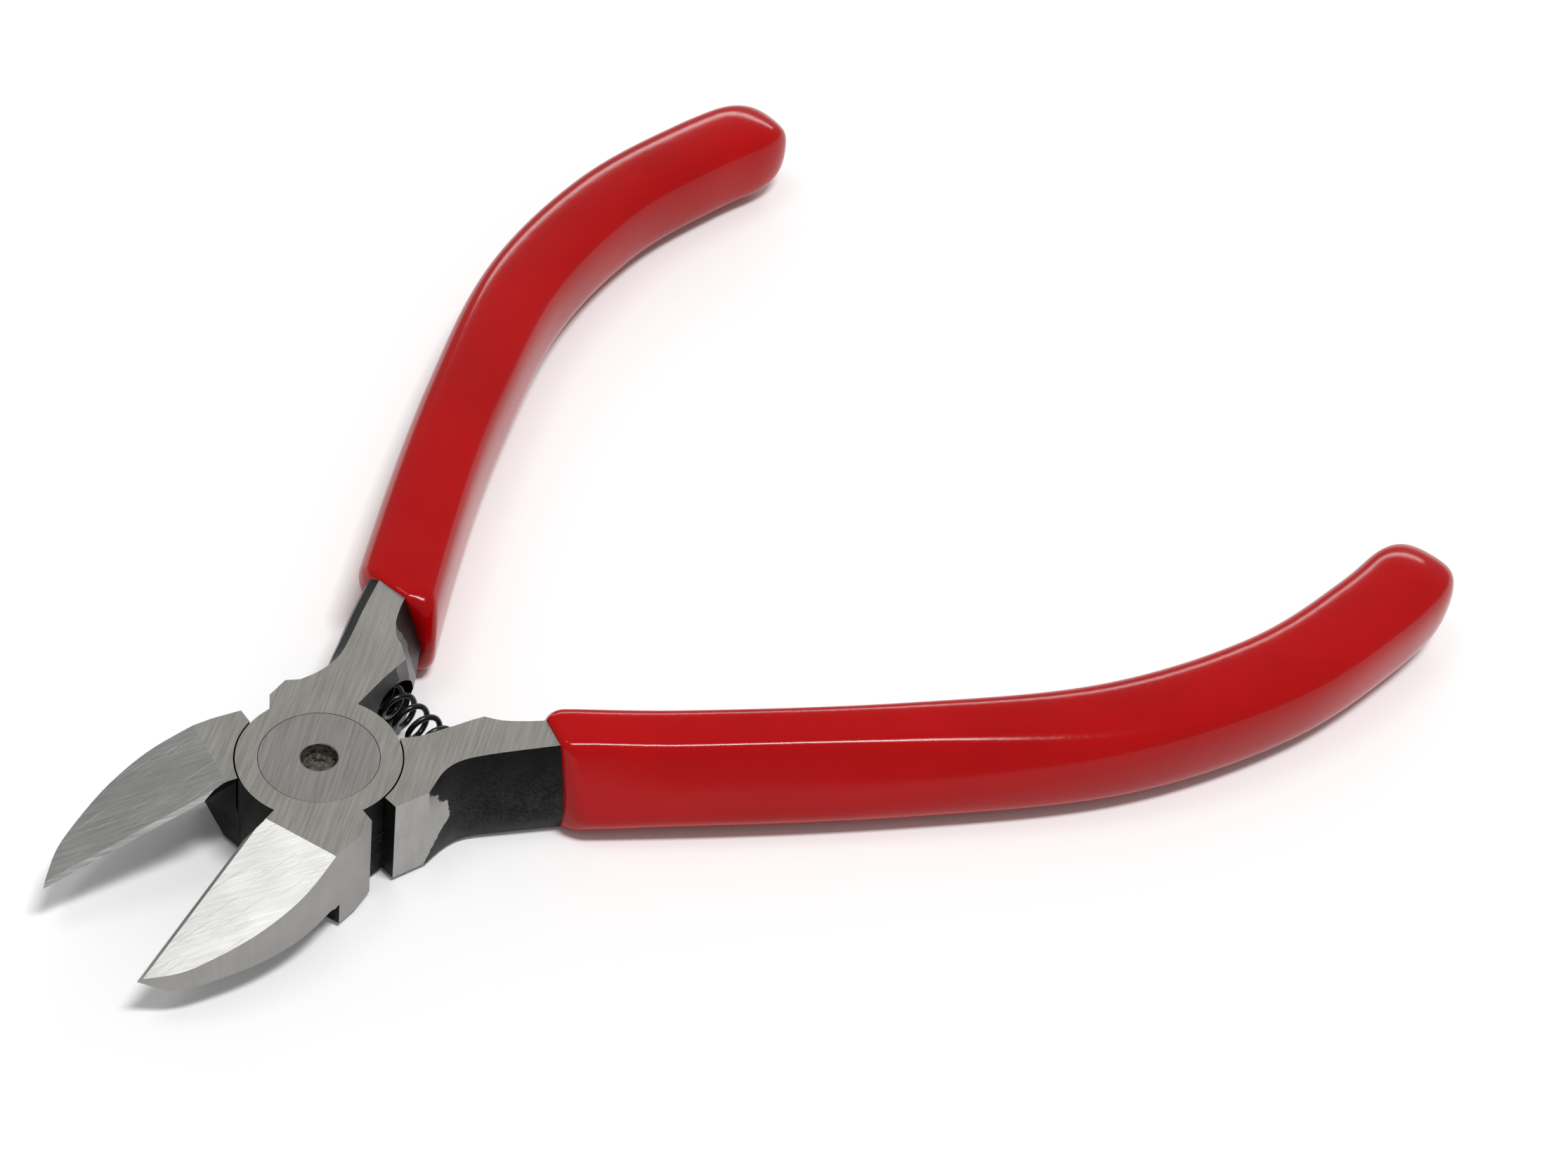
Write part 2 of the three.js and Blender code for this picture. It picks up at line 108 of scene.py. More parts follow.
# Rivet
RIVET_HEAD_RADIUS = 5.66
RIVET_HEAD_DEPTH = 1.4
RIVET_TAIL_RADIUS = 4.8
RIVET_TAIL_DEPTH = 1.3
RIVET_SHANK_RADIUS = 3.3
RIVET_BEVEL = 0.03
RIVET_SHARP_ANGLE = math.radians(30)
RECESS_RADIUS = 1.75
RECESS_DEPTH = 1.7
RECESS_BEVEL = 0.08
RECESS_TAPER = 0.03
RECESS_CORNER = 0.35

# Spring
SPRING_X = 13.0
SPRING_HALF_LENGTH = 7.1
COIL_RADIUS = 1.6
WIRE_RADIUS = 0.3
OPEN_TURNS = 6.5
CLOSED_TURNS = 1.0
CLOSED_PITCH = 1.06 * 2 * WIRE_RADIUS
PITCH_EASING = (-0.12, -0.04, 0.04, 0.12)
WIRE_SHARP_ANGLE = math.radians(50)

# Grips: the handle's middle line, with y outward, and rows of x and value along it
MIDDLE_LINE = [
    (4, -1.6), (10.9, 5.1), (29.3, 20.1), (47.8, 33.5), (66.1, 44.6), (84.5, 50.5), (100.9, 51.6), (114, 50.6),
]
CAP_LENGTH = 8.2
CAP_FULLNESS = 2.5
LIP_LENGTH = 3.6
LIP_LEAST = 0.9
LIP_ROUNDNESS = 1.15
LIP_BURIED = 0.12
LIP_STEPS = 16
BODY_STEPS = 110
CAP_STEPS = 24
SLANT_FADE = 12

# The corners of a grip's section, which are then eased: how far outward and up each is, and its share of the
# edges. They are the rear grip's; the front grip is the same one turned over.
MOUTH_SECTION = [
    (4.6, -1.0, 0.45), (1.8, 5.25, 0.18), (-3.2, 5.25, 0.35), (-4.45, 3.4, 0.45),
    (-4.45, -3.4, 0.45), (-3.2, -5.25, 0.35), (3.1, -5.05, 0.4), (4.7, -2.9, 0.45),
]
END_HALF_WIDTH = 5.1
END_HALF_HEIGHT = 4.9
END_FLAT = 0.62
END_SECTION = [
    (END_HALF_WIDTH * out, END_HALF_HEIGHT * up, 0.5)
    for out, up in (
        (1, END_FLAT), (END_FLAT, 1), (-END_FLAT, 1), (-1, END_FLAT),
        (-1, -END_FLAT), (-END_FLAT, -1), (END_FLAT, -1), (1, -END_FLAT),
    )
]
MORPH_FROM_X = 34
MORPH_TO_X = 74
MOUTH_SWELL = 0.3
SWELL_FROM_X = 18.9
SWELL_TO_X = 28.9

# A grip's mouth plane: an x and an outward y that it passes through, and how far it leans towards the joint
# per unit outward. Its place on the middle line is searched for between two lengths.
MOUTHS = {"front_grip": (19.9, 12, 0.09), "rear_grip": (18.9, 12, 0.35)}
MOUTH_SEARCH = (8.0, 60.0)

# Stage, lights and camera; the floor's half size is in metres
FLOOR_HALF_SIZE = 6.0
WORLD_STRENGTH = 0.38
LIGHT_AIM = Vector((20, 0, 5))
CAMERA_PLACE = Vector((-116.6, -140.5, 206.8))
CAMERA_FORWARD = Vector((0.5813, 0.4484, -0.6789))
CAMERA_ROLL = math.radians(9.696)
CAMERA_LENS = 64.98
SENSOR_WIDTH = 36.0


# ---- small helpers -----------------------------------------------------------------------------------------


def read(rows, x):
    """The value at x in rows of x and value, straight between them."""
    if x <= rows[0][0]:
        return rows[0][1]
    for (x0, v0), (x1, v1) in zip(rows, rows[1:]):
        if x <= x1:
            return v0 + (v1 - v0) * (x - x0) / (x1 - x0)
    return rows[-1][1]


def smoothstep(x, low, high):
    """Goes from 0 at low to 1 at high, level at both."""
    t = min(1.0, max(0.0, (x - low) / (high - low)))
    return t * t * (3 - 2 * t)


def cad_solid(node):
    """A CAD node's own mesh as a bmesh in millimetres."""
    bm = bmesh.new()
    bm.from_mesh(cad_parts[node].data)
    bmesh.ops.scale(bm, vec=(1 / MM, 1 / MM, 1 / MM), verts=bm.verts)
    return bm


def new_piece(name, bm, materials, body, replaced):
    """Turns a bmesh that is in millimetres into a piece of the object."""
    bmesh.ops.scale(bm, vec=(MM, MM, MM), verts=bm.verts)
    mesh = bpy.data.meshes.new(name)
    bm.to_mesh(mesh)
    bm.free()
    for made in materials:
        mesh.materials.append(made)
    piece = bpy.data.objects.new(name, mesh)
    bpy.context.collection.objects.link(piece)
    if body:
        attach(piece, body)
    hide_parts(replaced)
    return piece


def skin_rings(bm, rings, material_index=0):
    """Quads between rings that have the same number of vertices; returns the rings' vertices."""
    made = [[bm.verts.new(p) for p in ring] for ring in rings]
    for lower, upper in zip(made, made[1:]):
        count = len(lower)
        for i in range(count):
            j = (i + 1) % count
            face = bm.faces.new((lower[i], lower[j], upper[j], upper[i]))
            face.material_index = material_index
            face.smooth = True
    return made


def close_ring(bm, ring, point, material_index=0):
    """A fan from a ring to one point."""
    tip = bm.verts.new(point)
    for i, vertex in enumerate(ring):
        face = bm.faces.new((vertex, ring[(i + 1) % len(ring)], tip))
        face.material_index = material_index
        face.smooth = True


def mark_sharp(bm, angle):
    """Leaves an edge smooth only where its two faces turn by less than the angle."""
    for edge in bm.edges:
        edge.smooth = len(edge.link_faces) != 2 or edge.calc_face_angle() < angle


# ---- materials ---------------------------------------------------------------------------------------------


class Shader:
    """A node material with a Principled shader; its textures run on the piece's own coordinates."""

    def __init__(self, name, metallic, roughness, base=(0.5, 0.5, 0.5)):
        self.material = bpy.data.materials.new(name)
        self.material.use_nodes = True
        self.nodes = self.material.node_tree.nodes
        self.links = self.material.node_tree.links
        self.principled = self.nodes["Principled BSDF"]
        self.principled.inputs["Metallic"].default_value = metallic
        self.principled.inputs["Roughness"].default_value = roughness
        self.principled.inputs["Base Color"].default_value = (*base, 1)
        self.place = self.nodes.new("ShaderNodeTexCoord").outputs["Object"]

    def noise(self, scale, detail=3, stretch=(1, 1, 1), turn=(0, 0, 0), roughness=0.5):
        """Noise between 0 and 1. Scale is features per millimetre. A stretch below 1 draws the features out
        along that axis of the turned coordinates."""
        mapping = self.nodes.new("ShaderNodeMapping")
        mapping.vector_type = "TEXTURE"
        mapping.inputs["Rotation"].default_value = turn
        mapping.inputs["Scale"].default_value = tuple(1 / share for share in stretch)
        self.links.new(self.place, mapping.inputs["Vector"])
        made = self.nodes.new("ShaderNodeTexNoise")
        made.inputs["Scale"].default_value = scale / MM
        made.inputs["Detail"].default_value = detail
        made.inputs["Roughness"].default_value = roughness
        self.links.new(mapping.outputs["Vector"], made.inputs["Vector"])
        return made.outputs["Fac"]

    def span(self, value, low, high, to_low=0.0, to_high=1.0):
        """Maps a value from one span to another, and holds it there."""
        made = self.nodes.new("ShaderNodeMapRange")
        made.clamp = True
        made.inputs["From Min"].default_value = low
        made.inputs["From Max"].default_value = high
        made.inputs["To Min"].default_value = to_low
        made.inputs["To Max"].default_value = to_high
        self.links.new(value, made.inputs["Value"])
        return made.outputs["Result"]

    def math(self, operation, a, b=None):
        """A sum or the like of one or two values, each a number or a socket."""
        made = self.nodes.new("ShaderNodeMath")
        made.operation = operation
        for socket, value in zip(made.inputs, (a, b)):
            if isinstance(value, bpy.types.NodeSocket):
                self.links.new(value, socket)
            elif value is not None:
                socket.default_value = value
        return made.outputs["Value"]

    def mix(self, share, first, second):
        """A colour between two, each a tuple or a socket."""
        made = self.nodes.new("ShaderNodeMix")
        made.data_type = "RGBA"
        self.links.new(share, made.inputs["Factor"])
        for socket, colour in zip((made.inputs[6], made.inputs[7]), (first, second)):
            if isinstance(colour, bpy.types.NodeSocket):
                self.links.new(colour, socket)
            else:
                socket.default_value = (*colour, 1)
        return made.outputs[2]

    def bump(self, height, distance, below=None):
        """Adds a bump of the given depth in millimetres."""
        made = self.nodes.new("ShaderNodeBump")
        made.inputs["Strength"].default_value = 1
        made.inputs["Distance"].default_value = distance * MM
        self.links.new(height, made.inputs["Height"])
        if below is not None:
            self.links.new(below, made.inputs["Normal"])
        self.links.new(made.outputs["Normal"], self.principled.inputs["Normal"])
        return made.outputs["Normal"]

    def along(self, axis):
        """The piece's own coordinate along an axis, in metres."""
        separate = self.nodes.new("ShaderNodeSeparateXYZ")
        self.links.new(self.place, separate.inputs["Vector"])
        return separate.outputs[axis]

    def feed(self, name, value):
        """Joins a value to a socket of the Principled shader."""
        self.links.new(value, self.principled.inputs[name])


GRIND_DEPTH = 0.006
SCRATCH_DEPTH = 0.004
SCRATCH_TURN = 0.35
# The oxide's dark and light tones; the light one is also the painted sheen that lifts the lower half
OXIDE_DARK = (0.004, 0.0038, 0.004)
OXIDE_MOTTLE_AND_SHEEN = (0.045, 0.045, 0.048)
RAGGED = 0.4
BORDER_BLUR = 0.06
BLOCK_GRAIN_TURN = 0.1


def steel_colour(shader, turn, low, high):
    """Grain and colour of ground steel: long fine grinding marks over faint broad patches."""
    streaks = shader.noise(4.5, detail=4, stretch=(0.035, 1, 0.05), turn=(0, 0, turn), roughness=0.65)
    patches = shader.noise(0.22, detail=3)
    both = shader.math("ADD", shader.math("MULTIPLY", streaks, 0.6), shader.math("MULTIPLY", patches, 0.6))
    return streaks, shader.mix(shader.span(both, 0.4, 0.8), low, high)


def ground_steel(name, turn_deg, low, high, roughness=(0.34, 0.46)):
    """Bare ground steel between two colours. The grinding runs at turn_deg to the X axis, and a few finer
    scratches run slightly across it."""
    turn = math.radians(turn_deg)
    shader = Shader(name, metallic=1.0, roughness=0.4)
    streaks, colour = steel_colour(shader, turn, low, high)
    shader.feed("Base Color", colour)
    shader.feed("Roughness", shader.span(streaks, 0.3, 0.7, *roughness))
    scratches = shader.noise(7, detail=2, stretch=(0.02, 1, 0.03), turn=(0, 0, turn + SCRATCH_TURN))
    deep = shader.span(scratches, 0.62, 0.70)
    ground = shader.bump(streaks, GRIND_DEPTH)
    shader.bump(shader.math("SUBTRACT", 1.0, deep), SCRATCH_DEPTH, below=ground)
    return shader.material


def oxide_colour(shader):
    """Grain and colour of forged skin under black oxide, made a little lighter in the lower half by a painted
    sheen.
    """
    grain = shader.noise(4.5, detail=6, roughness=0.68)
    patches = shader.noise(0.5, detail=4)
    both = shader.math("ADD", shader.math("MULTIPLY", grain, 0.75), shader.math("MULTIPLY", patches, 0.25))
    # Painted sheen: the lighter tone shows in full low down and fades to a quarter near the top, where the
    # painted shade is darker
    painted_lower_sheen = shader.span(shader.along("Z"), 4 * MM, 9 * MM, 1, 0.25)
    share = shader.math("MULTIPLY", shader.span(both, 0.42, 0.72), painted_lower_sheen)
    return grain, shader.mix(share, OXIDE_DARK, OXIDE_MOTTLE_AND_SHEEN)


def black_oxide():
    """Forged skin under black oxide: dark, faintly mottled, with a fine scale texture."""
    shader = Shader("black_oxide", metallic=0.0, roughness=0.45)
    shader.principled.inputs["Specular IOR Level"].default_value = 0.06
    grain, colour = oxide_colour(shader)
    shader.feed("Base Color", colour)
    shader.feed("Roughness", shader.span(grain, 0.35, 0.65, 0.38, 0.56))
    shader.bump(grain, 0.012)
    return shader.material


def part_ground(name, low, high, metallic, zone):
    """A side that is ground only where it stands proud of the black forged skin, up to a ragged border.
    Zone takes the shader and the piece's X and Z, and says how far inside the ground zone a point is."""
    shader = Shader(name, metallic=metallic, roughness=0.42)
    ragged = shader.span(shader.noise(0.9, detail=4), 0.3, 0.7, -RAGGED * MM, RAGGED * MM)
    inside = shader.math("ADD", zone(shader, shader.along("X"), shader.along("Z")), ragged)
    ground = shader.span(inside, -BORDER_BLUR * MM, BORDER_BLUR * MM)
    steel = steel_colour(shader, BLOCK_GRAIN_TURN, low, high)[1]
    grain, oxide = oxide_colour(shader)
    shader.feed("Base Color", shader.mix(ground, oxide, steel))
    shader.feed("Roughness", shader.span(grain, 0.35, 0.65, 0.34, 0.48))
    shader.bump(shader.math("MULTIPLY", grain, shader.span(ground, 0, 1, 1, 0.15)), 0.018)
    return shader.material


def block_zone(shader, x, z):
    """Ground next to the joint, furthest along at mid height."""
    off_middle = shader.math("ABSOLUTE", shader.math("SUBTRACT", z, BLOCK_MIDDLE_Z * MM))
    reach = shader.span(
        off_middle, BLOCK_MIDDLE_BAND * MM, BLOCK_HALF_HEIGHT * MM, BLOCK_REACH * MM, BLOCK_CORNER_REACH * MM,
    )
    return shader.math("SUBTRACT", reach, x)


def strip_zone(shader, x, z):
    """Ground between the spring's pocket and the grip."""
    from_middle = shader.math("ABSOLUTE", shader.math("SUBTRACT", x, STRIP_X * MM))
    return shader.math("SUBTRACT", STRIP_HALF_LENGTH * MM, from_middle)


def recess_skin():
    """Bottom of the rivet's recess: rough, brown-black."""
    shader = Shader("recess_skin", metallic=0.4, roughness=0.6)
    grain = shader.noise(2.6, detail=5, roughness=0.65)
    colour = shader.mix(shader.span(grain, 0.4, 0.68), (0.016, 0.013, 0.010), (0.22, 0.19, 0.16))
    shader.feed("Base Color", colour)
    shader.bump(grain, 0.25)
    return shader.material


def black_wire():
    """Spring wire under glossy black oxide."""
    shader = Shader("black_wire", metallic=0.2, roughness=0.2)
    grain = shader.noise(3.0, detail=3)
    shader.feed("Base Color", shader.mix(grain, (0.005, 0.005, 0.006), (0.016, 0.016, 0.018)))
    shader.feed("Roughness", shader.span(grain, 0.3, 0.7, 0.14, 0.24))
    shader.bump(grain, 0.012)
    return shader.material


def red_vinyl():
    """Dipped vinyl: deep red under a gloss that is faintly uneven, as the dip leaves it."""
    shader = Shader("red_vinyl", metallic=0.0, roughness=0.22)
    shader.principled.inputs["Specular IOR Level"].default_value = 0.2
    cloud = shader.noise(0.06, detail=3)
    colour = shader.mix(shader.span(cloud, 0.35, 0.65), (0.345, 0.001, 0.0018), (0.405, 0.0015, 0.0025))
    shader.feed("Base Color", colour)
    peel = shader.noise(0.5, detail=2)
    fine = shader.noise(3.2, detail=3)
    shader.feed("Roughness", shader.span(fine, 0.35, 0.65, 0.11, 0.17))
    slow = shader.bump(peel, 0.010)
    shader.bump(fine, 0.0010, below=slow)
    return shader.material


STEEL_TOP = ground_steel(
    "ground_steel_top", turn_deg=35, low=(0.375, 0.365, 0.337), high=(0.45, 0.44, 0.405),
)
# Ground steel with its grinding marks; its lighter colour than the tops' is painted light, added to the light
# that the facets mirror
STEEL_FACET_PAINTED_LIGHT = ground_steel(
    "ground_steel_facet_painted_light", turn_deg=-28, low=(0.42, 0.417, 0.405), high=(0.55, 0.548, 0.535),
    roughness=(0.25, 0.36),
)
STEEL_WALL = ground_steel(
    "ground_steel_wall", turn_deg=15, low=(0.28, 0.274, 0.266), high=(0.36, 0.35, 0.34),
)
STEEL_RIVET = ground_steel(
    "rivet_steel", turn_deg=38, low=(0.335, 0.328, 0.308), high=(0.395, 0.388, 0.366),
)
OXIDE = black_oxide()
BLOCK_SIDE = part_ground(
    "block_side", low=(0.32, 0.316, 0.308), high=(0.41, 0.405, 0.395), metallic=0.85, zone=block_zone,
)
# The ground steel beside the spring is far darker than the block's: painted shade between the two levers
SHADED_SPRING_SIDE = part_ground(
    "spring_side_painted_shade", low=(0.10, 0.10, 0.11), high=(0.17, 0.17, 0.18), metallic=0.3, zone=strip_zone,
)
RECESS_SKIN = recess_skin()
WIRE = black_wire()
VINYL = red_vinyl()


# ---- levers ------------------------------------------------------------------------------------------------

LEVER_MATERIALS = [STEEL_TOP, STEEL_FACET_PAINTED_LIGHT, STEEL_WALL, OXIDE, BLOCK_SIDE, SHADED_SPRING_SIDE]
TOP, FACET, WALL, BLACK, BLOCK, THROAT = range(len(LEVER_MATERIALS))


def lever_region(centre, normal, jaw_side):
    """Which finish a face of a lever has, from where it lies in millimetres and where it faces. Jaw_side is 1
    if the lever's jaw lies towards +Y, and -1 if towards -Y; its handle lies on the other side."""
    s = -centre.x * math.cos(HALF_OPEN) + jaw_side * centre.y * math.sin(HALF_OPEN)
    on_jaw = jaw_side * centre.y > 0 and centre.x < JAWS_X
    underside = centre.z < REGION_MARGIN
    if normal.z > LEVEL or (normal.z < -LEVEL and underside):
        return TOP
    if on_jaw and s > STEP_S:
        if normal.z > SLOPING:
            return FACET
        past_throat = s > THROAT_END_S or abs(centre.y) > THROAT_HALF_WIDTH
        return WALL if past_throat or normal.z < -SLOPING else BLACK
    away = Vector((normal.x, normal.y)).dot(Vector((0, centre.y)).normalized())
    if on_jaw and away > SHOULDER_AWAY and abs(centre.y) > SHOULDER_Y:
        return WALL
    off_joint = centre.xy.length > JOINT_RADIUS + REGION_MARGIN
    if centre.x > 0 and jaw_side * centre.y < -BLOCK_Y and away > AWAY and off_joint:
        return BLOCK
    if centre.x > POCKET_X and jaw_side * centre.y < -POCKET_Y and away < -AWAY:
        return THROAT
    return BLACK


def detailed_lever(node, body, jaw_side):
    """The lever's own solid with its flat faces made whole, its edges eased and each region in its finish."""
    bm = cad_solid(node)
    bmesh.ops.remove_doubles(bm, verts=bm.verts, dist=MERGE_DISTANCE)
    bmesh.ops.dissolve_limit(bm, angle_limit=FLAT_ANGLE, verts=bm.verts, edges=bm.edges)
    for face in bm.faces:
        face.smooth = True
        face.material_index = lever_region(face.calc_center_median(), face.normal, jaw_side)
    mark_sharp(bm, SHARP_ANGLE)
    for edge in bm.edges:
        if sum(face.material_index == FACET for face in edge.link_faces) == 1:
            edge.smooth = False
    piece = new_piece(node + "_steel", bm, LEVER_MATERIALS, body, node)
    bevel = piece.modifiers.new("eased_edges", "BEVEL")
    bevel.width = EDGE_BEVEL * MM
    bevel.segments = 2
    bevel.limit_method = "ANGLE"
    bevel.angle_limit = SHARP_ANGLE
    bevel.harden_normals = True
    return piece


# ---- rivet -------------------------------------------------------------------------------------------------


def turned_ring(radius, z, sides=96):
    """A ring of points round the pivot axis."""
    turns = [2 * math.pi * i / sides for i in range(sides)]
    return [(radius * math.cos(turn), radius * math.sin(turn), z) for turn in turns]


def rivet():
    """The turned rivet: a lower head, a shank and a flush upper head with a rough recess in the middle."""
    tail, head, bevel = RIVET_TAIL_RADIUS, RIVET_HEAD_RADIUS, RIVET_BEVEL
    head_low = THICKNESS - RIVET_HEAD_DEPTH
    floor_z = THICKNESS - RECESS_DEPTH
    recess_edge = (RECESS_RADIUS, THICKNESS - RECESS_BEVEL)
    outside = [
        (0.6, 0), (tail - bevel, 0), (tail, bevel), (tail, RIVET_TAIL_DEPTH),
        (RIVET_SHANK_RADIUS, RIVET_TAIL_DEPTH), (RIVET_SHANK_RADIUS, head_low),
        (head, head_low), (head, THICKNESS - bevel), (head - bevel, THICKNESS),
        (RECESS_RADIUS + RECESS_BEVEL, THICKNESS), recess_edge,
    ]
    recess = [
        recess_edge, (RECESS_RADIUS - RECESS_TAPER, floor_z + RECESS_CORNER),
        (RECESS_RADIUS - RECESS_CORNER, floor_z + 0.05), (0.9, floor_z), (0.45, floor_z),
    ]
    bm = bmesh.new()
    outer = skin_rings(bm, [turned_ring(r, z) for r, z in outside])
    close_ring(bm, outer[0][::-1], (0, 0, 0))
    inner = skin_rings(bm, [turned_ring(r, z) for r, z in recess], material_index=1)
    close_ring(bm, inner[-1], (0, 0, floor_z), material_index=1)
    bmesh.ops.remove_doubles(bm, verts=bm.verts, dist=MERGE_DISTANCE)
    bmesh.ops.recalc_face_normals(bm, faces=bm.faces)
    mark_sharp(bm, RIVET_SHARP_ANGLE)
    materials = [STEEL_RIVET, RECESS_SKIN]
    return new_piece("pivot_rivet_steel", bm, materials, "front", "pivot_rivet")


# ---- spring ------------------------------------------------------------------------------------------------


def spring_path(steps_per_turn=28):
    """Points of a helix along Y whose first and last turns lie closed. The pitch changes over a short way."""
    half = SPRING_HALF_LENGTH - WIRE_RADIUS
    closed_end = half - CLOSED_TURNS * CLOSED_PITCH
    turns = 2 * CLOSED_TURNS + OPEN_TURNS
    rows = [(0, -half), (CLOSED_TURNS, -closed_end), (CLOSED_TURNS + OPEN_TURNS, closed_end), (turns, half)]
    count = int(turns * steps_per_turn)
    points = []
    for i in range(count + 1):
        turn = turns * i / count
        y = sum(read(rows, turn + shift) for shift in PITCH_EASING) / len(PITCH_EASING)
        angle = 2 * math.pi * turn
        x, z = COIL_RADIUS * math.cos(angle), COIL_RADIUS * math.sin(angle)
        points.append(Vector((SPRING_X + x, y, MID_Z + z)))
    return points


def spring(sides=12):
    """The wire swept along the helix."""
    points = spring_path()
    angles = [2 * math.pi * k / sides for k in range(sides)]
    rings = []
    for i, point in enumerate(points):
        ahead = points[min(i + 1, len(points) - 1)] - points[max(i - 1, 0)]
        outward = Vector((point.x - SPRING_X, 0, point.z - MID_Z)).normalized()
        across = ahead.normalized().cross(outward).normalized()
        rings.append([point + WIRE_RADIUS * (outward * math.cos(a) + across * math.sin(a)) for a in angles])
    bm = bmesh.new()
    made = skin_rings(bm, rings)
    close_ring(bm, made[0][::-1], points[0])
    close_ring(bm, made[-1], points[-1])
    bmesh.ops.recalc_face_normals(bm, faces=bm.faces)
    mark_sharp(bm, WIRE_SHARP_ANGLE)
    piece = new_piece("return_spring_wire", bm, [WIRE], None, "return_spring")
    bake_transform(piece)
    return piece


# ---- grips -------------------------------------------------------------------------------------------------


class MiddleLine:
    """The handle's middle line as a smooth curve, read by its length in millimetres."""

    def __init__(self, steps=60):
        points = [Vector((x, y, 0)) for x, y in MIDDLE_LINE]
        ends = [points[0] * 2 - points[1], *points, points[-1] * 2 - points[-2]]
        self.points = [points[0]]
        for i in range(len(points) - 1):
            before, start, stop, after = ends[i:i + 4]
            hold = [start + (stop - before) / 6, stop - (after - start) / 6]
            self.points += interpolate_bezier(start, hold[0], hold[1], stop, steps + 1)[1:]
        self.lengths = [0.0]
        for a, b in zip(self.points, self.points[1:]):
            self.lengths.append(self.lengths[-1] + (b - a).length)
        self.length = self.lengths[-1]

    def at(self, length):
        """The point and the direction at a length along the line."""
        i = max(1, next((k for k, done in enumerate(self.lengths) if done > length), len(self.points) - 1))
        a, b = self.points[i - 1], self.points[i]
        share = (length - self.lengths[i - 1]) / (self.lengths[i] - self.lengths[i - 1])
        return a + (b - a) * share, (b - a).normalized()


LINE = MiddleLine()


def beside(length, out, up, side):
    """The point that lies outward and up from a place on the middle line of the handle on that side."""
    point, along = LINE.at(length)
    return Vector((point.x - along.y * out, side * (point.y + along.x * out), MID_Z + up))


def eased_outline(rows, steps):
    """A closed outline through rows of out, up and the share of the edges that each eased corner takes."""
    corners = [Vector(row[:2]) for row in rows]
    points = []
    for i, corner in enumerate(corners):
        start = corner.lerp(corners[i - 1], rows[i][2])
        stop = corner.lerp(corners[(i + 1) % len(corners)], rows[i][2])
        for k in range(steps):
            t = (k + 0.5) / steps
            points.append(start.lerp(corner, t).lerp(corner.lerp(stop, t), t))
    return points


def section(length, side, steps=14):
    """The grip's outline at a length along the middle line, as out and up."""
    x = LINE.at(length)[0].x
    to_end = smoothstep(x, MORPH_FROM_X, MORPH_TO_X)
    swell = MOUTH_SWELL * (1 - smoothstep(x, SWELL_FROM_X, SWELL_TO_X))
    rows = []
    for near, far in zip(MOUTH_SECTION, END_SECTION):
        out, up, share = (a + (b - a) * to_end for a, b in zip(near, far))
        rows.append((out, up + math.copysign(swell, up), share))
    return [Vector((p.x, -side * p.y)) for p in eased_outline(rows, steps)]


def mouth_length(mouth, side, out):
    """Where the tilted mouth plane crosses the line that runs beside the middle line."""
    x0, y0, tilt = mouth
    low, high = MOUTH_SEARCH
    while high - low > 1e-4:
        middle = (low + high) / 2
        p = beside(middle, out, 0, side)
        if p.x - x0 + tilt * (side * p.y - y0) < 0:
            low = middle
        else:
            high = middle
    return low


def tang_outline(lever, mouth, side):
    """The edges of the steel's section in the mouth plane, each as two points given as out and up."""
    x0, y0, tilt = mouth
    bm = cad_solid(lever)
    cut = bmesh.ops.bisect_plane(
        bm, geom=bm.verts[:] + bm.edges[:] + bm.faces[:],
        plane_co=Vector((x0, side * y0, 0)), plane_no=Vector((1, side * tilt, 0)).normalized(),
    )["geom_cut"]
    point, along = LINE.at(mouth_length(mouth, side, 0))
    centre = Vector((point.x, side * point.y, MID_Z))
    outward = Vector((-along.y, side * along.x, 0))
    edges = []
    for edge in cut:
        if isinstance(edge, bmesh.types.BMEdge):
            offsets = [vertex.co - centre for vertex in edge.verts]
            edges.append([Vector((d.dot(outward), d.z)) for d in offsets])
    bm.free()
    return edges


def reach_along(ray, edges):
    """How far from the middle the furthest edge lies along a ray."""
    best = 0.0
    for start, stop in edges:
        span = stop - start
        cross = ray.x * span.y - ray.y * span.x
        if abs(cross) > 1e-9:
            reach = (start.x * span.y - start.y * span.x) / cross
            share = (start.x * ray.y - start.y * ray.x) / cross
            if -1e-6 <= share <= 1 + 1e-6:
                best = max(best, reach)
    return best


def lip_rings(side, start, slant, edges):
    """The rounded lip: it leaves the steel square to it and turns over into the grip's own section, over a
    length that grows with how far the vinyl stands off the steel there."""
    outline = section(start + LIP_LENGTH, side)
    on_steel = [p.normalized() * (reach_along(p.normalized(), edges) - LIP_BURIED) for p in outline]
    rings = []
    for step in range(LIP_STEPS + 1):
        along = LIP_LENGTH * (1 - math.cos(math.pi / 2 * step / LIP_STEPS))
        ring = []
        for low, full in zip(on_steel, outline):
            lip = min(LIP_LENGTH, max(LIP_LEAST, LIP_ROUNDNESS * (full - low).length))
            short = 1 - min(1.0, along / lip)
            flat = low.lerp(full, math.sqrt(1 - short * short))
            ring.append(beside(start + slant * flat.x + along, flat.x, flat.y, side))
        rings.append(ring)
    return rings


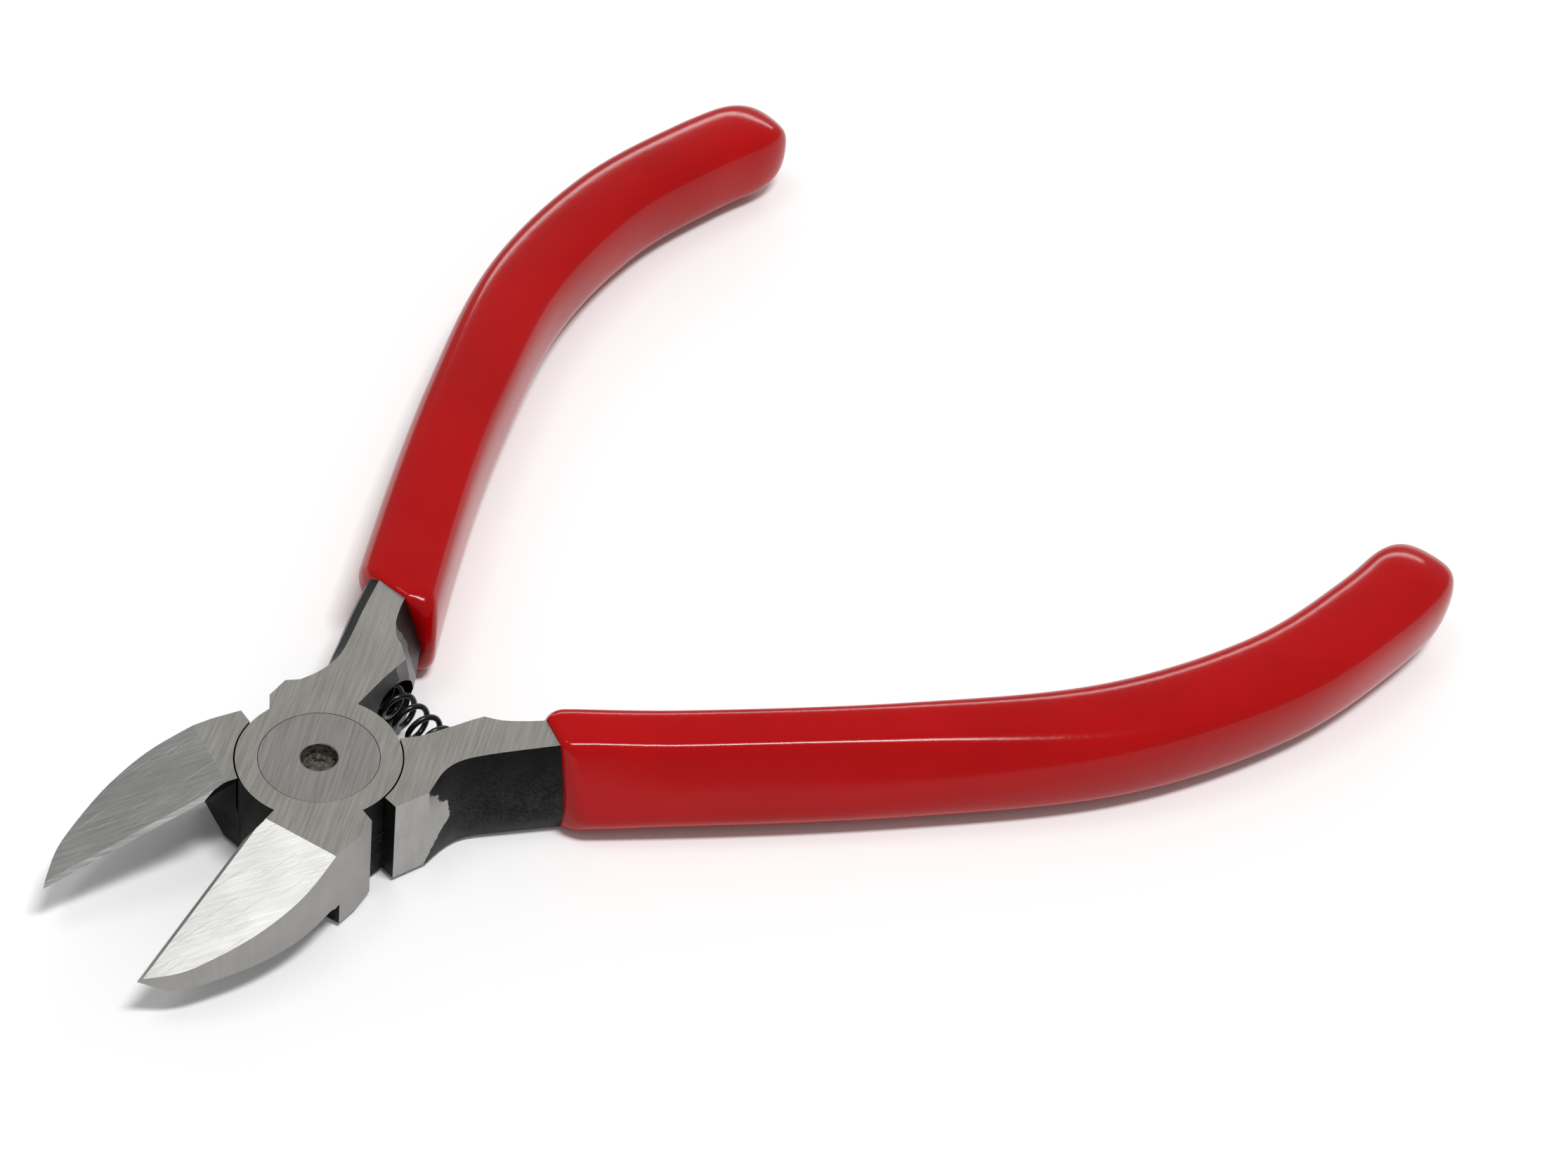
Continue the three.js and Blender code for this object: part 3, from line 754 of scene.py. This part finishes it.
def grip(node, lever, body, side):
    """A dipped grip: a rounded lip that closes on the steel, a squarish body and a round end."""
    mouth = MOUTHS[node]
    slant = (mouth_length(mouth, side, 2) - mouth_length(mouth, side, -2)) / 4
    start = mouth_length(mouth, side, 0)
    rings = lip_rings(side, start, slant, tang_outline(lever, mouth, side))
    body_start = start + LIP_LENGTH
    body_end = LINE.length - CAP_LENGTH
    for step in range(1, BODY_STEPS + 1):
        length = body_start + (body_end - body_start) * step / BODY_STEPS
        ease = slant * (1 - smoothstep(length - body_start, 0, SLANT_FADE))
        rings.append([beside(length + ease * p.x, p.x, p.y, side) for p in section(length, side)])
    for step in range(1, CAP_STEPS):
        along = 1 - (1 - step / CAP_STEPS) ** 2
        length = body_end + CAP_LENGTH * along
        scale = (1 - along ** CAP_FULLNESS) ** (1 / CAP_FULLNESS)
        rings.append([beside(length, p.x * scale, p.y * scale, side) for p in section(length, side)])
    bm = bmesh.new()
    made = skin_rings(bm, rings)
    close_ring(bm, made[-1], beside(LINE.length, 0, 0, side))
    bmesh.ops.recalc_face_normals(bm, faces=bm.faces)
    return new_piece(node + "_vinyl", bm, [VINYL], body, node)


# ---- stage -------------------------------------------------------------------------------------------------


def floor():
    """A pale floor under the lowest point of the object."""
    corners = ((-1, -1), (1, -1), (1, 1), (-1, 1))
    bm = bmesh.new()
    bm.faces.new([bm.verts.new((x * FLOOR_HALF_SIZE, y * FLOOR_HALF_SIZE, CAD_LOW.z)) for x, y in corners])
    mesh = bpy.data.meshes.new("floor")
    bm.to_mesh(mesh)
    bm.free()
    shader = Shader("floor_paper", metallic=0.0, roughness=0.9, base=(0.93, 0.93, 0.93))
    shader.principled.inputs["Specular IOR Level"].default_value = 0.1
    mesh.materials.append(shader.material)
    made = bpy.data.objects.new("floor", mesh)
    bpy.context.collection.objects.link(made)


def area_light(name, direction, distance, size, power, along):
    """A rectangular light that faces the joint from a direction; its distance and sides are in metres, and its
    first side runs as near to along as it can."""
    data = bpy.data.lights.new(name, "AREA")
    data.shape = "RECTANGLE"
    data.size, data.size_y = size
    data.energy = power
    made = bpy.data.objects.new(name, data)
    back = Vector(direction).normalized()
    side = (Vector(along) - back * back.dot(Vector(along))).normalized()
    turn = Matrix((side, back.cross(side), back)).transposed().to_4x4()
    made.matrix_world = Matrix.Translation(LIGHT_AIM * MM + back * distance) @ turn
    bpy.context.collection.objects.link(made)


def lights():
    """A low even world, a soft light that a jaw's facet mirrors, and two strips that edge the grips."""
    world = bpy.data.worlds.new("studio")
    world.use_nodes = True
    background = world.node_tree.nodes["Background"]
    background.inputs["Color"].default_value = (1, 1, 1, 1)
    background.inputs["Strength"].default_value = WORLD_STRENGTH
    bpy.context.scene.world = world
    area_light(
        "facet_light", direction=(-0.13, 0.27, 0.954), distance=0.9, size=(0.26, 0.26), power=0.72,
        along=(1, 0, 0),
    )
    area_light(
        "edge_strip", direction=(0.03, -0.28, 0.96), distance=0.9, size=(0.30, 0.12), power=5.4,
        along=(0.84, -0.50, -0.26),
    )
    area_light(
        "back_strip", direction=(0.74, 0.6, 0.36), distance=1.0, size=(0.9, 0.10), power=1.8,
        along=(0.6, -0.74, 0),
    )


def camera():
    """The camera, tilted by its roll about the line it looks along."""
    data = bpy.data.cameras.new("camera")
    data.lens = CAMERA_LENS
    data.sensor_width = SENSOR_WIDTH
    data.clip_start = 0.01
    data.clip_end = 20
    forward = CAMERA_FORWARD.normalized()
    level_right = forward.cross(Vector((0, 0, 1))).normalized()
    level_up = level_right.cross(forward)
    right = level_right * math.cos(CAMERA_ROLL) + level_up * math.sin(CAMERA_ROLL)
    up = level_up * math.cos(CAMERA_ROLL) - level_right * math.sin(CAMERA_ROLL)
    turn = Matrix((right, up, -forward)).transposed().to_4x4()
    made = bpy.data.objects.new("camera", data)
    made.matrix_world = Matrix.Translation(CAMERA_PLACE * MM) @ turn
    bpy.context.collection.objects.link(made)
    bpy.context.scene.camera = made


camera()
lights()
floor()
detailed_lever("front_lever", "front", -1)
detailed_lever("rear_lever", "rear", 1)
rivet()
spring()
grip("front_grip", "front_lever", "front", 1)
grip("rear_grip", "rear_lever", "rear", -1)
bpy.context.scene.view_settings.view_transform = "Standard"
